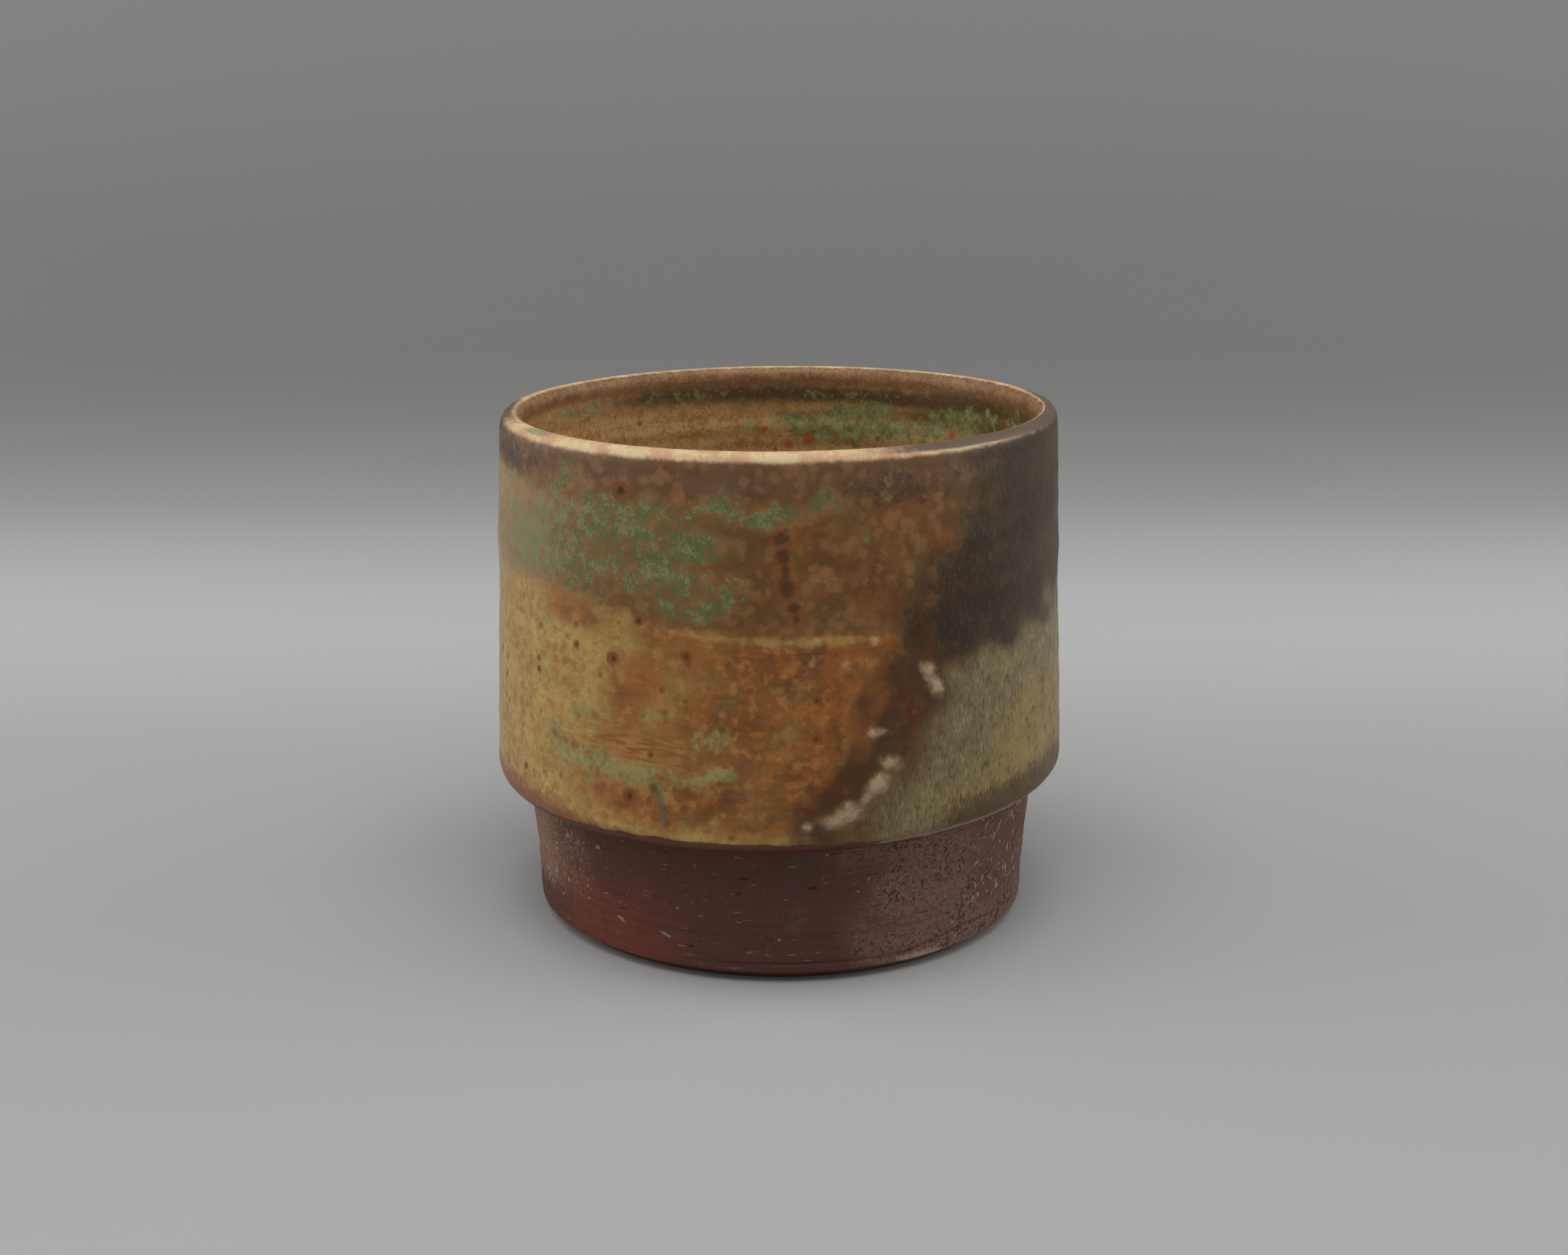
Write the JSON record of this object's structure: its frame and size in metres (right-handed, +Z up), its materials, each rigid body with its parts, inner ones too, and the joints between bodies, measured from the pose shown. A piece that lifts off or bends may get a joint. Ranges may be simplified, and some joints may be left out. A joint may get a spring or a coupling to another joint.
{
  "type": "stoneware cup",
  "caption": "Hand-thrown stoneware cup with no handle: a slightly tapered glazed wall, a rounded shoulder and a narrower bare clay foot, for holding a drink.",
  "frame": {"origin": "on the table, at the centre of the foot ring", "axes": "+Z up along the axis the cup was thrown on; -Y is the side that the picture shows"},
  "size_m": [0.09, 0.09, 0.0797],
  "materials": {
    "bare_clay": "matte, gritty, dark red-brown",
    "outer_glaze": "satin, ochre to rust, spotted with iron",
    "second_glaze": "satin, brown broken with grey-green",
    "liner_glaze": "satin, brown with green patches"
  },
  "bodies": {
    "root": {"clay_body": "bare_clay", "outer_glaze": "outer_glaze", "second_glaze": "second_glaze", "liner_glaze": "liner_glaze"}
  },
  "joints": []
}
